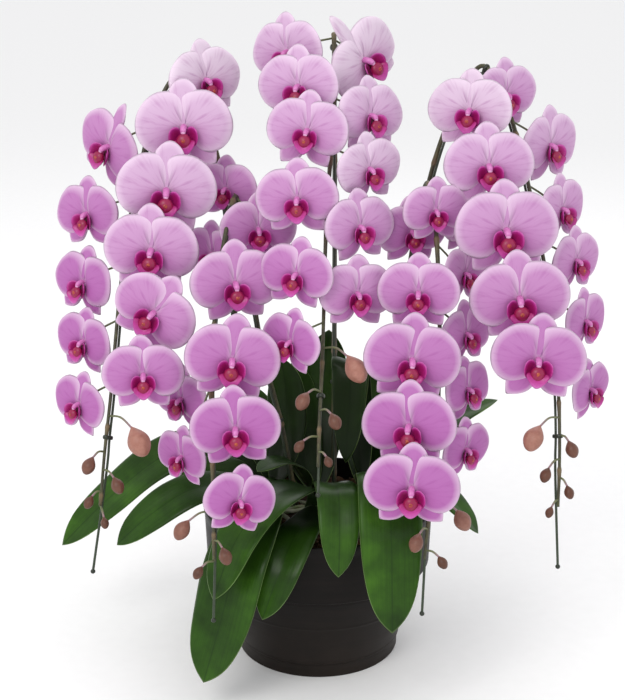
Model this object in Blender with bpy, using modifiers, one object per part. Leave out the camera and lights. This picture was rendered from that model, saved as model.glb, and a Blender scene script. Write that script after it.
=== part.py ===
"""Moth orchid with five arching flower spikes, three plants in one round plastic pot.

Frame: metres, +Z up, +X to the right, -Y the show side that the flowers face.
The origin is the centre of the pot's flat underside.
"""

import math

import bmesh
import bpy
import numpy as np
from mathutils import Matrix, Vector

# ---- driving dimensions ------------------------------------------------------------------------
POT_HEIGHT = 0.190
POT_RIM_RADIUS = 0.1410
POT_RIM_BAND = 0.074  # height of the wide band below the lip
POT_RIM_TAPER = 0.004  # the band is this much narrower at its lower edge
POT_BAND_STEP = 0.008  # the body starts this far inside the band
POT_FOOT_RADIUS = 0.0990
POT_FOOT_HEIGHT = 0.018
POT_FOOT_LEDGE = 0.0025
POT_WALL = 0.0035
POT_STEPS = 32
MEDIUM_BELOW_RIM = 0.018
MEDIUM_DOME = 0.006
TOUCH_GAP = 0.0003  # between pieces that rest on each other

FLOWER_WIDTH = 0.105
DRAWN_FLOWER_WIDTH = 0.105  # the size that the spikes' places are drawn for
TEPAL_THICKNESS = 0.0026
PEDICEL_RADIUS = 0.0014
PEDICEL_GAP = 0.0012  # a pedicel stops this far from its stem's skin
STEM_RADIUS = 0.0030
DRAWN_STEM_RADIUS = 0.0030  # the stem that the flowers' places are drawn to clear
FOOT_POINTS = 3  # a stem's first points, which follow the pot, before the ones that follow the flowers
WIRE_RADIUS = 0.0015
WIRE_GAP = 0.0012  # between a stem's skin and its wire's
WIRE_KNOB_RADIUS = 0.0028
ROUTE_STEP = 0.042  # spacing of the points along a stem or a wire

LEAF_THICKNESS = 0.0026
LEAF_FOLD = 0.16  # rise of a leaf's edges over its half width
LEAF_STATIONS = 9
LEAF_NECK = 0.38  # width of a leaf's neck over its greatest width
LEAF_WIDEST = 0.60  # share of the length at which a leaf is widest
LEAF_TIP_RUN = 0.415  # share over which it rounds off, a little past the tip so that the end has a width
DRAWN_RIM_RADIUS = 0.1410  # the rim that the leaves' routes are drawn for
CROWN_RADIUS = 0.017
CROWN_HEIGHT = 0.045
CROWN_TAPER = 0.6  # top radius over the foot's

MEDIUM_TOP = POT_HEIGHT - MEDIUM_BELOW_RIM
GROWTH = FLOWER_WIDTH / DRAWN_FLOWER_WIDTH

# ---- the spikes: places in metres, heights above the growing medium ----------------------------
# route: the stem from the medium over its arch to its tip. wire_end: the end of the wire's run.
# flowers: x, y, height, turn to the right, tilt up and roll in degrees, width across the petals.
# buds: x, y, height, length.
SPIKES = {
    1: {
        "route": [
            (-0.098, 0.050, 0.000), (-0.100, 0.058, 0.180), (-0.108, 0.066, 0.350), (-0.130, 0.070, 0.470),
            (-0.160, 0.066, 0.528), (-0.190, 0.048, 0.488), (-0.206, 0.018, 0.428), (-0.218, -0.008, 0.368),
            (-0.227, -0.035, 0.303), (-0.232, -0.065, 0.243), (-0.236, -0.092, 0.188),
            (-0.242, -0.120, 0.128), (-0.247, -0.138, 0.070),
        ],
        "wire_end": (-0.257, -0.150, -0.006),
        "front": [
            (-0.130, 0.038, 0.523, 35, 5, 0, 0.095), (-0.153, 0.000, 0.475, 3, 5, 0, 0.110),
            (-0.172, -0.035, 0.409, 0, 5, 0, 0.112), (-0.188, -0.065, 0.347, 0, 5, 0, 0.106),
            (-0.184, -0.100, 0.285, -8, 5, 38, 0.098), (-0.194, -0.130, 0.222, 0, 5, 0, 0.090),
        ],
        "side": [
            (-0.247, 0.050, 0.444, -45, 5, 20, 0.100), (-0.270, 0.015, 0.371, -32, 5, 0, 0.090),
            (-0.274, -0.015, 0.297, -32, 5, 0, 0.088), (-0.272, -0.045, 0.234, -32, 5, 0, 0.082),
            (-0.275, -0.080, 0.170, -42, 5, 0, 0.080),
        ],
        "buds": [
            (-0.200, -0.150, 0.153, 0.032), (-0.257, -0.140, 0.120, 0.019), (-0.226, -0.145, 0.098, 0.018),
            (-0.258, -0.146, 0.078, 0.014), (-0.240, -0.158, 0.058, 0.012),
        ],
    },
    2: {
        "route": [
            (-0.026, 0.010, 0.000), (-0.043, 0.018, 0.100), (-0.068, 0.036, 0.200), (-0.085, 0.043, 0.308),
            (-0.095, 0.020, 0.390),
            (-0.103, -0.020, 0.374), (-0.112, -0.060, 0.323), (-0.118, -0.095, 0.258),
            (-0.120, -0.125, 0.193), (-0.118, -0.155, 0.128), (-0.116, -0.185, 0.073),
            (-0.115, -0.205, 0.033),
        ],
        "wire_end": (-0.116, -0.216, -0.033),
        "front": [
            (-0.093, -0.088, 0.315, 15, 5, 0, 0.100), (-0.095, -0.140, 0.242, 0, 5, 0, 0.104),
            (-0.091, -0.172, 0.174, 0, 5, 0, 0.098), (-0.086, -0.205, 0.103, 25, 5, 12, 0.082),
        ],
        "side": [],
        "buds": [
            (-0.149, -0.196, 0.067, 0.022), (-0.102, -0.216, 0.045, 0.018), (-0.131, -0.218, 0.026, 0.014),
        ],
    },
    3: {
        "route": [
            (0.020, 0.040, 0.000), (0.020, 0.070, 0.180), (0.020, 0.088, 0.380), (0.019, 0.090, 0.510),
            (0.018, 0.074, 0.572), (0.018, 0.045, 0.538), (0.017, 0.015, 0.483), (0.012, -0.015, 0.423),
            (0.008, -0.045, 0.358), (0.006, -0.075, 0.293), (0.004, -0.105, 0.233), (0.001, -0.140, 0.178),
            (-0.001, -0.165, 0.128),
        ],
        "wire_end": (-0.001, -0.178, 0.100),
        "front": [
            (-0.036, 0.045, 0.557, -30, 5, 0, 0.092), (-0.023, 0.000, 0.521, -20, 5, 0, 0.095),
            (-0.013, -0.030, 0.476, -15, 5, 0, 0.092), (-0.024, -0.065, 0.406, -10, 5, 0, 0.092),
            (-0.025, -0.100, 0.329, -20, 5, 0, 0.085), (-0.031, -0.125, 0.259, -35, 5, 0, 0.078),
        ],
        "side": [
            (0.054, 0.056, 0.544, 40, 5, -35, 0.105), (0.059, 0.000, 0.488, 35, 5, 0, 0.092),
            (0.057, -0.030, 0.433, 35, 5, 0, 0.085), (0.046, -0.060, 0.373, 30, 5, 0, 0.088),
            (0.043, -0.090, 0.304, 20, 5, 0, 0.088),
        ],
        "buds": [
            (0.040, -0.130, 0.231, 0.030), (-0.017, -0.152, 0.201, 0.020), (0.017, -0.162, 0.181, 0.018),
            (-0.021, -0.168, 0.154, 0.014), (0.010, -0.178, 0.140, 0.012),
        ],
    },
    4: {
        "route": [
            (0.100, 0.010, 0.000), (0.100, 0.012, 0.090), (0.101, 0.024, 0.180), (0.110, 0.042, 0.308),
            (0.125, 0.030, 0.403),
            (0.132, -0.010, 0.388), (0.135, -0.050, 0.333), (0.136, -0.085, 0.268), (0.134, -0.118, 0.203),
            (0.132, -0.150, 0.138), (0.122, -0.180, 0.078), (0.116, -0.200, 0.033),
        ],
        "wire_end": (0.114, -0.210, -0.028),
        "front": [
            (0.110, -0.105, 0.309, -10, 5, 0, 0.090), (0.102, -0.140, 0.242, 0, 5, 0, 0.106),
            (0.098, -0.172, 0.177, -10, 5, 0, 0.103), (0.100, -0.203, 0.117, -3, 5, 0, 0.103),
        ],
        "side": [
            (0.170, 0.012, 0.363, 45, 5, 0, 0.080), (0.168, -0.030, 0.311, 45, 5, 0, 0.080),
            (0.168, -0.070, 0.251, 45, 5, 0, 0.080), (0.168, -0.100, 0.195, 45, 5, 0, 0.078),
            (0.165, -0.130, 0.134, 45, 5, 0, 0.076),
        ],
        "buds": [
            (0.159, -0.170, 0.067, 0.024), (0.106, -0.214, 0.060, 0.020), (0.135, -0.205, 0.032, 0.014),
        ],
    },
    5: {
        "route": [
            (0.086, 0.058, 0.000), (0.100, 0.072, 0.180), (0.125, 0.080, 0.358), (0.155, 0.090, 0.468),
            (0.190, 0.080, 0.535), (0.215, 0.052, 0.503), (0.232, 0.015, 0.448), (0.246, -0.020, 0.383),
            (0.258, -0.052, 0.318), (0.266, -0.082, 0.253), (0.270, -0.110, 0.188), (0.270, -0.135, 0.128),
            (0.269, -0.148, 0.073),
        ],
        "wire_end": (0.272, -0.150, 0.000),
        "front": [
            (0.171, 0.000, 0.494, -20, 5, 0, 0.095), (0.191, -0.035, 0.437, 0, 5, 0, 0.100),
            (0.209, -0.070, 0.371, 0, 5, 0, 0.115), (0.223, -0.100, 0.301, -5, 5, 0, 0.110),
            (0.241, -0.135, 0.241, 0, 5, 0, 0.104),
        ],
        "side": [
            (0.272, 0.052, 0.445, 45, 5, 0, 0.095), (0.283, 0.010, 0.378, 45, 5, 0, 0.085),
            (0.297, -0.020, 0.324, 45, 5, 0, 0.082), (0.306, -0.050, 0.260, 45, 5, 0, 0.080),
            (0.313, -0.080, 0.188, 45, 5, 0, 0.075),
        ],
        "buds": [
            (0.237, -0.158, 0.160, 0.028), (0.281, -0.146, 0.142, 0.018), (0.252, -0.158, 0.116, 0.016),
            (0.279, -0.155, 0.094, 0.014), (0.258, -0.160, 0.072, 0.012),
        ],
    },
}

# ---- the leaves: midrib places in metres, heights above the pot's rim; greatest width ------
PLANTS = {
    "left": {
        "crown": (-0.060, 0.005),
        "leaves": [
            ([(-0.060, 0.010, 0.005), (-0.110, 0.022, 0.048), (-0.180, 0.030, 0.050), (-0.255, 0.015, -0.002),
              (-0.318, 0.000, -0.062)], 0.056),
            ([(-0.062, -0.002, 0.004), (-0.100, -0.030, 0.030), (-0.150, -0.050, 0.034),
              (-0.200, -0.062, 0.006), (-0.240, -0.070, -0.029)], 0.048),
            ([(-0.058, -0.004, 0.004), (-0.068, -0.060, 0.018), (-0.078, -0.115, 0.020),
              (-0.094, -0.155, -0.014), (-0.112, -0.172, -0.080), (-0.132, -0.180, -0.150)], 0.078),
            ([(-0.054, 0.012, 0.008), (-0.040, 0.045, 0.070), (-0.040, 0.065, 0.120),
              (-0.046, 0.072, 0.160)], 0.050),
            ([(-0.062, 0.012, 0.004), (-0.075, 0.070, 0.050), (-0.090, 0.130, 0.055),
              (-0.105, 0.188, 0.010)], 0.058),
        ],
    },
    "centre": {
        "crown": (-0.002, -0.010),
        "leaves": [
            ([(-0.004, -0.016, 0.000), (-0.012, -0.070, 0.004), (-0.026, -0.125, 0.010),
              (-0.044, -0.160, -0.018), (-0.064, -0.176, -0.072)], 0.052),
            ([(0.000, -0.016, 0.012), (-0.020, -0.075, 0.048), (-0.060, -0.128, 0.052),
              (-0.094, -0.166, 0.018), (-0.118, -0.190, -0.040)], 0.062),
            ([(0.000, -0.014, 0.008), (0.014, -0.075, 0.052), (0.022, -0.130, 0.064),
              (0.023, -0.165, 0.030), (0.022, -0.178, -0.018)], 0.050),
            ([(-0.006, -0.008, 0.012), (-0.026, -0.020, 0.052), (-0.048, -0.040, 0.066),
              (-0.072, -0.062, 0.062)], 0.040),
            ([(-0.004, -0.002, 0.006), (-0.014, 0.030, 0.014), (-0.024, 0.090, 0.040), (-0.032, 0.160, 0.035),
              (-0.036, 0.210, -0.015)], 0.060),
        ],
    },
    "right": {
        "crown": (0.058, 0.002),
        "leaves": [
            ([(0.060, -0.006, 0.004), (0.070, -0.070, 0.060), (0.078, -0.130, 0.080), (0.080, -0.176, 0.036),
              (0.081, -0.194, -0.020), (0.082, -0.202, -0.075)], 0.072),
            ([(0.056, 0.012, 0.010), (0.050, 0.040, 0.080), (0.042, 0.040, 0.150), (0.040, 0.010, 0.170),
              (0.037, -0.015, 0.120), (0.033, -0.030, 0.060)], 0.050),
            ([(0.066, 0.006, 0.006), (0.115, 0.044, 0.055), (0.172, 0.058, 0.085), (0.224, 0.061, 0.108)],
             0.052),
            ([(0.066, -0.004, 0.004), (0.110, -0.025, 0.030), (0.155, -0.050, 0.024),
              (0.190, -0.070, -0.014)], 0.048),
            ([(0.058, 0.012, 0.004), (0.060, 0.075, 0.040), (0.072, 0.135, 0.050), (0.090, 0.190, 0.005)],
             0.058),
        ],
    },
}

COLOURS = {
    "pot": ((0.028, 0.023, 0.021), 0.45),
    "growing_medium": ((0.060, 0.035, 0.020), 0.95),
    "leaf": ((0.035, 0.130, 0.020), 0.35),
    "stem": ((0.045, 0.055, 0.022), 0.55),
    "wire": ((0.030, 0.045, 0.028), 0.40),
    "petal": ((0.680, 0.300, 0.650), 0.60),
}


def clear_scene():
    for obj in list(bpy.data.objects):
        bpy.data.objects.remove(obj, do_unlink=True)


def collection(name):
    made = bpy.data.collections.new(name)
    bpy.context.scene.collection.children.link(made)
    return made


def material(name):
    colour, roughness = COLOURS[name]
    made = bpy.data.materials.new(name)
    made.use_nodes = True
    shader = made.node_tree.nodes["Principled BSDF"]
    shader.inputs["Base Color"].default_value = (*colour, 1.0)
    shader.inputs["Roughness"].default_value = roughness
    shader.inputs["Metallic"].default_value = 0.0
    return made


def object_of(name, mesh):
    obj = bpy.data.objects.new(name, mesh)
    ORCHID.objects.link(obj)
    return obj


def finish(obj, look):
    """Give a finished piece its material and smooth shading."""
    obj.data.materials.clear()
    obj.data.materials.append(look)
    obj.data.shade_smooth()
    obj.data.set_sharp_from_angle(angle=math.radians(40))
    return obj


def settle(obj):
    """Replace an object by a plain mesh of its evaluated shape, with loose caps welded."""
    graph = bpy.context.evaluated_depsgraph_get()
    mesh = bpy.data.meshes.new_from_object(obj.evaluated_get(graph))
    mesh.transform(obj.matrix_world)
    work = bmesh.new()
    work.from_mesh(mesh)
    bmesh.ops.remove_doubles(work, verts=work.verts, dist=0.000005)
    work.to_mesh(mesh)
    work.free()
    name = obj.name
    bpy.data.objects.remove(obj, do_unlink=True)
    return object_of(name, mesh)


def union(name, pieces):
    """Join closed pieces that overlap into one closed body."""
    base = pieces[0]
    for tool in pieces[1:]:
        cut = base.modifiers.new("join", "BOOLEAN")
        cut.operation = "UNION"
        cut.solver = "MANIFOLD"
        cut.object = tool
    bpy.context.view_layer.update()
    base.name = name
    joined = settle(base)
    for tool in pieces[1:]:
        bpy.data.objects.remove(tool, do_unlink=True)
    return joined


def smooth_route(points, step):
    """Points every `step` along the Catmull-Rom curve through `points`."""
    knots = [Vector(p) for p in points]
    knots = [2 * knots[0] - knots[1], *knots, 2 * knots[-1] - knots[-2]]
    fine = []
    for a, b, c, d in zip(knots, knots[1:], knots[2:], knots[3:]):
        for i in range(16):
            t = i / 16
            bend = (2 * a - 5 * b + 4 * c - d) * t * t + (3 * b - a - 3 * c + d) * t**3
            fine.append(0.5 * (2 * b + (c - a) * t + bend))
    fine.append(knots[-2])
    lengths = np.cumsum([0.0] + [(q - p).length for p, q in zip(fine, fine[1:])])
    count = max(2, round(lengths[-1] / step)) + 1
    wanted = np.linspace(0.0, lengths[-1], count)
    columns = np.array([tuple(p) for p in fine])
    return [Vector([np.interp(w, lengths, columns[:, i]) for i in range(3)]) for w in wanted]


def tube(name, points, radius, fineness=1, radii=None):
    """A round bar along `points`, with filled ends: 4 sides at fineness 0, 6 at 1."""
    curve = bpy.data.curves.new(name, "CURVE")
    curve.dimensions = "3D"
    curve.bevel_depth = radius
    curve.bevel_resolution = fineness
    curve.use_fill_caps = True
    spline = curve.splines.new("POLY")
    spline.points.add(len(points) - 1)
    for i, (target, point) in enumerate(zip(spline.points, points)):
        target.co = (*point, 1.0)
        target.radius = radii[i] if radii else 1.0
    obj = bpy.data.objects.new(name, curve)
    ORCHID.objects.link(obj)
    bpy.context.view_layer.update()
    return settle(obj)


def turned(name, profile, steps):
    """A turned solid: the profile is (radius, height) from axis to axis, down its outer side."""
    mesh = bpy.data.meshes.new(name)
    edges = [(i, i + 1) for i in range(len(profile) - 1)]
    mesh.from_pydata([(r, 0.0, z) for r, z in profile], edges, [])
    obj = object_of(name, mesh)
    screw = obj.modifiers.new("turn", "SCREW")
    screw.steps = steps
    screw.render_steps = steps
    screw.use_merge_vertices = True
    screw.merge_threshold = 0.00005
    bpy.context.view_layer.update()
    return settle(obj)


def make_pot():
    band_low = POT_HEIGHT - POT_RIM_BAND
    body_top = POT_RIM_RADIUS - POT_RIM_TAPER - POT_BAND_STEP
    ledge = POT_FOOT_RADIUS + POT_FOOT_LEDGE
    outer = [
        (POT_RIM_RADIUS, POT_HEIGHT),
        (POT_RIM_RADIUS - POT_RIM_TAPER, band_low),
        (body_top, band_low - 0.004),
        (ledge, POT_FOOT_HEIGHT + 0.002),
        (POT_FOOT_RADIUS, POT_FOOT_HEIGHT),
        (POT_FOOT_RADIUS, 0.0),
        (0.0, 0.0),
    ]
    profile = [(0.0, POT_WALL), (POT_FOOT_RADIUS - POT_WALL, POT_WALL), *pot_wall_inside(), *outer]
    return turned("pot", profile, POT_STEPS)


def pot_wall_inside():
    """The inner wall from the floor to the lip, as (radius, height)."""
    band_low = POT_HEIGHT - POT_RIM_BAND
    body_top = POT_RIM_RADIUS - POT_RIM_TAPER - POT_BAND_STEP
    return [
        (body_top - POT_WALL, band_low - 0.004),
        (POT_RIM_RADIUS - POT_RIM_TAPER - POT_WALL, band_low + 0.004),
        (POT_RIM_RADIUS - POT_WALL, POT_HEIGHT),
    ]


def make_growing_medium():
    """The bark that fills the pot, heaped in a low dome and a gap inside the wall all the way down."""
    floor_radius = POT_FOOT_RADIUS - POT_WALL
    (low_radius, low_height), (band_radius, band_height), (lip_radius, lip_height) = pot_wall_inside()
    share = (MEDIUM_TOP - band_height) / (lip_height - band_height)
    top_radius = band_radius + share * (lip_radius - band_radius)
    gap = 2 * TOUCH_GAP
    profile = [
        (0.0, MEDIUM_TOP),
        (top_radius * 0.72, MEDIUM_TOP - MEDIUM_DOME * 0.25),
        (top_radius - gap, MEDIUM_TOP - MEDIUM_DOME),
        (band_radius - gap, band_height),
        (low_radius - gap, low_height),
        (floor_radius - gap, POT_WALL + TOUCH_GAP),
        (0.0, POT_WALL + TOUCH_GAP),
    ]
    return turned("growing_medium", profile, POT_STEPS)


def on_spike(x, y, height):
    """A place on a spike, carried by the size of the flowers and the height of the medium."""
    return Vector((x * GROWTH, y * GROWTH, MEDIUM_TOP + TOUCH_GAP + height * GROWTH))


def over_rim(x, y, height):
    """A place on a leaf: spread with the pot inside its rim, carried along by the rim outside it."""
    reach = math.hypot(x, y)
    pushed = reach * POT_RIM_RADIUS / DRAWN_RIM_RADIUS
    if reach > DRAWN_RIM_RADIUS:
        pushed = reach + POT_RIM_RADIUS - DRAWN_RIM_RADIUS
    return Vector((x * pushed / reach, y * pushed / reach, POT_HEIGHT + height))


def stem_route(spike):
    """The stem's places: its foot keeps its place in the pot, and the rest follows the size of the flowers."""
    foot_spread = POT_RIM_RADIUS / DRAWN_RIM_RADIUS / GROWTH
    places = []
    for i, (x, y, height) in enumerate(spike["route"]):
        share = min(i / FOOT_POINTS, 1.0)
        spread = foot_spread + (1.0 - foot_spread) * share
        places.append(on_spike(x * spread, y * spread, height))
    return smooth_route(places, ROUTE_STEP)


def wire_route(spike):
    """The stem's route moved to the hollow side of its arch, and run on to the wire's own end."""
    stem = stem_route(spike)
    lean = stem[-1] - stem[0]
    lean.z = 0.0
    side = lean.normalized().cross(Vector((0, 0, 1)))
    apart = STEM_RADIUS + WIRE_GAP + WIRE_RADIUS
    points = []
    for i, point in enumerate(stem):
        along = (stem[min(i + 1, len(stem) - 1)] - stem[max(i - 1, 0)]).normalized()
        points.append(point + apart * along.cross(side).normalized())
    points[0].z = MEDIUM_TOP + TOUCH_GAP
    return [*points, on_spike(*spike["wire_end"])]


def nearest(points, target):
    """The place on a run of points that lies closest to `target`."""
    best = None
    for a, b in zip(points, points[1:]):
        share = min(max((target - a).dot(b - a) / (b - a).length_squared, 0.0), 1.0)
        place = a.lerp(b, share)
        if best is None or (place - target).length < (best - target).length:
            best = place
    return best


def make_bud(stem, x, y, height, length):
    """A closed bud on a short stalk that starts inside the stem."""
    middle = on_spike(x, y, height)
    inner = [*stem[:-1], stem[-2].lerp(stem[-1], 0.85)]
    joint = nearest(inner, middle + Vector((0, 0, length * 0.8)))
    hang = (middle - joint).normalized()
    work = bmesh.new()
    bmesh.ops.create_uvsphere(work, u_segments=6, v_segments=4, radius=0.5)
    turn = hang.to_track_quat("Z", "Y").to_matrix().to_4x4()
    size = Matrix.Diagonal((length * 0.72, length * 0.72, length, 1.0))
    bmesh.ops.transform(work, matrix=Matrix.Translation(middle) @ turn @ size, verts=work.verts)
    mesh = bpy.data.meshes.new("bud")
    work.to_mesh(mesh)
    work.free()
    bud = object_of("bud", mesh)
    stalk = tube("stalk", [joint, middle], PEDICEL_RADIUS, 0)
    return [stalk, bud]


def make_spike(number, spike):
    stem = stem_route(spike)
    slim = [1.0 - 0.45 * (i / (len(stem) - 1)) ** 2 for i in range(len(stem))]
    pieces = [tube("stem", stem, STEM_RADIUS, 1, slim)]
    for bud in spike["buds"]:
        pieces += make_bud(stem, *bud)
    return union(f"flower_spike_{number}", pieces)


def make_wire(number, spike):
    points = wire_route(spike)
    work = bmesh.new()
    bmesh.ops.create_uvsphere(work, u_segments=6, v_segments=4, radius=WIRE_KNOB_RADIUS)
    bmesh.ops.translate(work, vec=points[-1], verts=work.verts)
    mesh = bpy.data.meshes.new("knob")
    work.to_mesh(mesh)
    work.free()
    return union(f"support_wire_{number}", [tube("wire", points, WIRE_RADIUS), object_of("knob", mesh)])


# One half of a blossom's outline, in shares of its width: back sepal, petal, side sepal.
OUTLINE = [
    (0.000, 0.470), (0.140, 0.350), (0.290, 0.300), (0.480, 0.130), (0.460, -0.090), (0.280, -0.170),
    (0.230, -0.400), (0.000, -0.240),
]
REFLEX = 0.045  # the tepals' tips stand back by this share of the width
LIP_FORWARD = 0.20
LIP_DROP = 0.15
LIP_ROOT = 0.085  # its radius where it grows from the blossom, and at its tip
LIP_TIP = 0.045


def make_blossom(turn, width):
    """The open flower: a shallow dish with the outline's corners, and its lip in front."""
    half = OUTLINE[1:-1]
    ring = [OUTLINE[0], *half, OUTLINE[-1], *[(-x, z) for x, z in reversed(half)]]
    work = bmesh.new()
    centre = work.verts.new((0, 0, 0))
    rim = [work.verts.new((x * width, width * REFLEX * 4 * (x * x + z * z), z * width)) for x, z in ring]
    for i, corner in enumerate(rim):
        work.faces.new((centre, corner, rim[(i + 1) % len(rim)]))
    bmesh.ops.recalc_face_normals(work, faces=work.faces)
    mesh = bpy.data.meshes.new("tepals")
    work.to_mesh(mesh)
    work.free()
    tepals = object_of("tepals", mesh)
    shell = tepals.modifiers.new("thickness", "SOLIDIFY")
    shell.thickness = TEPAL_THICKNESS
    shell.offset = 0.0
    tepals.matrix_world = turn
    bpy.context.view_layer.update()
    tepals = settle(tepals)

    root = Vector((0, 0.001, -0.03 * width))
    tip = Vector((0, -LIP_FORWARD * width, -LIP_DROP * width))
    work = bmesh.new()
    run = (tip - root).length
    bmesh.ops.create_cone(
        work, cap_ends=True, segments=5, radius1=LIP_ROOT * width, radius2=LIP_TIP * width, depth=run
    )
    aim = (tip - root).to_track_quat("Z", "Y").to_matrix().to_4x4()
    bmesh.ops.transform(work, matrix=turn @ Matrix.Translation((root + tip) / 2) @ aim, verts=work.verts)
    mesh = bpy.data.meshes.new("lip")
    work.to_mesh(mesh)
    work.free()
    return [tepals, object_of("lip", mesh)]


def make_flower(name, stem, x, y, height, yaw, pitch, roll, width):
    """A blossom on its pedicel. It faces -Y before it is turned, tilted up and rolled."""
    centre = on_spike(x, y, height)
    away = (centre - nearest(stem, centre)).normalized()
    centre += away * (STEM_RADIUS - DRAWN_STEM_RADIUS)
    turn = (
        Matrix.Translation(centre)
        @ Matrix.Rotation(math.radians(yaw), 4, "Z")
        @ Matrix.Rotation(math.radians(-pitch), 4, "X")
        @ Matrix.Rotation(math.radians(roll), 4, "Y")
    )
    width = width * GROWTH
    back = turn @ Vector((0, 0.012 * GROWTH, 0))
    joint = nearest(stem, back + Vector((0, 0.010, 0.022)) * GROWTH)
    off = (back - joint).normalized()
    start = joint + off * (STEM_RADIUS + PEDICEL_GAP + PEDICEL_RADIUS)
    bend = start.lerp(back, 0.6) + Vector((0, 0, 0.004 * GROWTH))
    pedicel = tube("pedicel", [start, bend, turn @ Vector((0, -0.0002, 0))], PEDICEL_RADIUS, 0)
    return union(name, [*make_blossom(turn, width), pedicel])


def leaf_width(share):
    """The width at a share of the length, over the greatest: a narrow neck, then wide, then a rounded tip."""
    if share < LEAF_WIDEST:
        rise = share / LEAF_WIDEST
        return LEAF_NECK + (1 - LEAF_NECK) * rise * rise * (3 - 2 * rise)
    return math.sqrt(1 - ((share - LEAF_WIDEST) / LEAF_TIP_RUN) ** 2)


def make_leaf(route, width):
    """A strap leaf along its midrib, folded along it and closed to a thin solid."""
    points = [over_rim(*p) for p in route]
    fine = smooth_route(points, 0.004)
    picks = np.linspace(0, len(fine) - 1, LEAF_STATIONS)
    middle = [fine[round(i)] for i in picks]
    heading = middle[-1] - middle[0]
    heading.z = 0.0
    across = heading.normalized().cross(Vector((0, 0, 1)))
    work = bmesh.new()
    rows = []
    for i, point in enumerate(middle):
        along = (middle[min(i + 1, len(middle) - 1)] - middle[max(i - 1, 0)]).normalized()
        side = (across - across.dot(along) * along).normalized()
        face = side.cross(along)
        half = 0.5 * width * leaf_width(i / (LEAF_STATIONS - 1))
        rise = face * half * LEAF_FOLD
        edge = side * half
        rows.append([work.verts.new(p) for p in (point - edge + rise, point, point + edge + rise)])
    for low, high in zip(rows, rows[1:]):
        for j in range(2):
            work.faces.new((low[j], low[j + 1], high[j + 1], high[j]))
    bmesh.ops.recalc_face_normals(work, faces=work.faces)
    mesh = bpy.data.meshes.new("leaf")
    work.to_mesh(mesh)
    work.free()
    obj = object_of("leaf", mesh)
    shell = obj.modifiers.new("thickness", "SOLIDIFY")
    shell.thickness = LEAF_THICKNESS
    shell.offset = 0.0
    bpy.context.view_layer.update()
    return settle(obj)


def make_plant(name, plant):
    """One plant: the short crown that sits on the medium, with its leaves grown from it."""
    x, y = (place * POT_RIM_RADIUS / DRAWN_RIM_RADIUS for place in plant["crown"])
    work = bmesh.new()
    top_radius = CROWN_RADIUS * CROWN_TAPER
    bmesh.ops.create_cone(
        work, cap_ends=True, segments=10, radius1=CROWN_RADIUS, radius2=top_radius, depth=CROWN_HEIGHT
    )
    middle = (x, y, MEDIUM_TOP + TOUCH_GAP + CROWN_HEIGHT / 2)
    bmesh.ops.translate(work, vec=middle, verts=work.verts)
    mesh = bpy.data.meshes.new("crown")
    work.to_mesh(mesh)
    work.free()
    pieces = [object_of("crown", mesh)]
    pieces += [make_leaf(*leaf) for leaf in plant["leaves"]]
    return union(f"orchid_plant_{name}", pieces)


clear_scene()
ORCHID = collection("potted_moth_orchid")
LOOKS = {name: material(name) for name in COLOURS}

finish(make_pot(), LOOKS["pot"])
finish(make_growing_medium(), LOOKS["growing_medium"])
for name, plant in PLANTS.items():
    finish(make_plant(name, plant), LOOKS["leaf"])
for number, spike in SPIKES.items():
    finish(make_spike(number, spike), LOOKS["stem"])
    finish(make_wire(number, spike), LOOKS["wire"])
    stem = stem_route(spike)
    for row in ("front", "side"):
        for place, flower in enumerate(spike[row], start=1):
            finish(make_flower(f"flower_{number}_{row}_{place}", stem, *flower), LOOKS["petal"])
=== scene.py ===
"""A potted moth orchid: three plants and five arching flower spikes in one moulded pot.

Metres, +Z up, -Y the show side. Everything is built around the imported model's own nodes.
"""

import bmesh
import bpy
import numpy as np
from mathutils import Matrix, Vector


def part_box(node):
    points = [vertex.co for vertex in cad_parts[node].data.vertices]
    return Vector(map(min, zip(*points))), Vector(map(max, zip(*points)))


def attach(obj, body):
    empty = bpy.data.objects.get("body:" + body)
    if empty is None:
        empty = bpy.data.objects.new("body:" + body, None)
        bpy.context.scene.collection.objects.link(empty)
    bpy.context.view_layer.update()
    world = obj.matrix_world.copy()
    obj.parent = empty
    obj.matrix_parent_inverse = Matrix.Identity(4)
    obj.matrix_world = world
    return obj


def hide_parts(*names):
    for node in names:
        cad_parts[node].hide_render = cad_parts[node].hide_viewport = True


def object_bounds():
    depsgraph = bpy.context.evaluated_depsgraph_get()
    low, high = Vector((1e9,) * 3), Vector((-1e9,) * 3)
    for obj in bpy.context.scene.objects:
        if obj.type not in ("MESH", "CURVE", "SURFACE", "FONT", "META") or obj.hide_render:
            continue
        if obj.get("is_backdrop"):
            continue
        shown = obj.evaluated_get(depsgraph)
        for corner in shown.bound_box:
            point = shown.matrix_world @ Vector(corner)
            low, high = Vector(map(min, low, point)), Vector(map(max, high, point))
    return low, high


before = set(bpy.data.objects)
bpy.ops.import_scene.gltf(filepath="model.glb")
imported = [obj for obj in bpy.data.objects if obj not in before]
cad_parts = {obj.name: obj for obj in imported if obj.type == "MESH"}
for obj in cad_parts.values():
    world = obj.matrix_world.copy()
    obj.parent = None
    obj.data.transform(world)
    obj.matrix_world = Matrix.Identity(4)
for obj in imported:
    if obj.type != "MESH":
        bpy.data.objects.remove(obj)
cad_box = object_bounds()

# ==== the pot ===================================================================================
# A grower's pot, injection-moulded in dark polypropylene: a tall rim band over a tapering body
# and a short foot. It comes out of the mould in one piece, and its one thin ridge with it.

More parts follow.
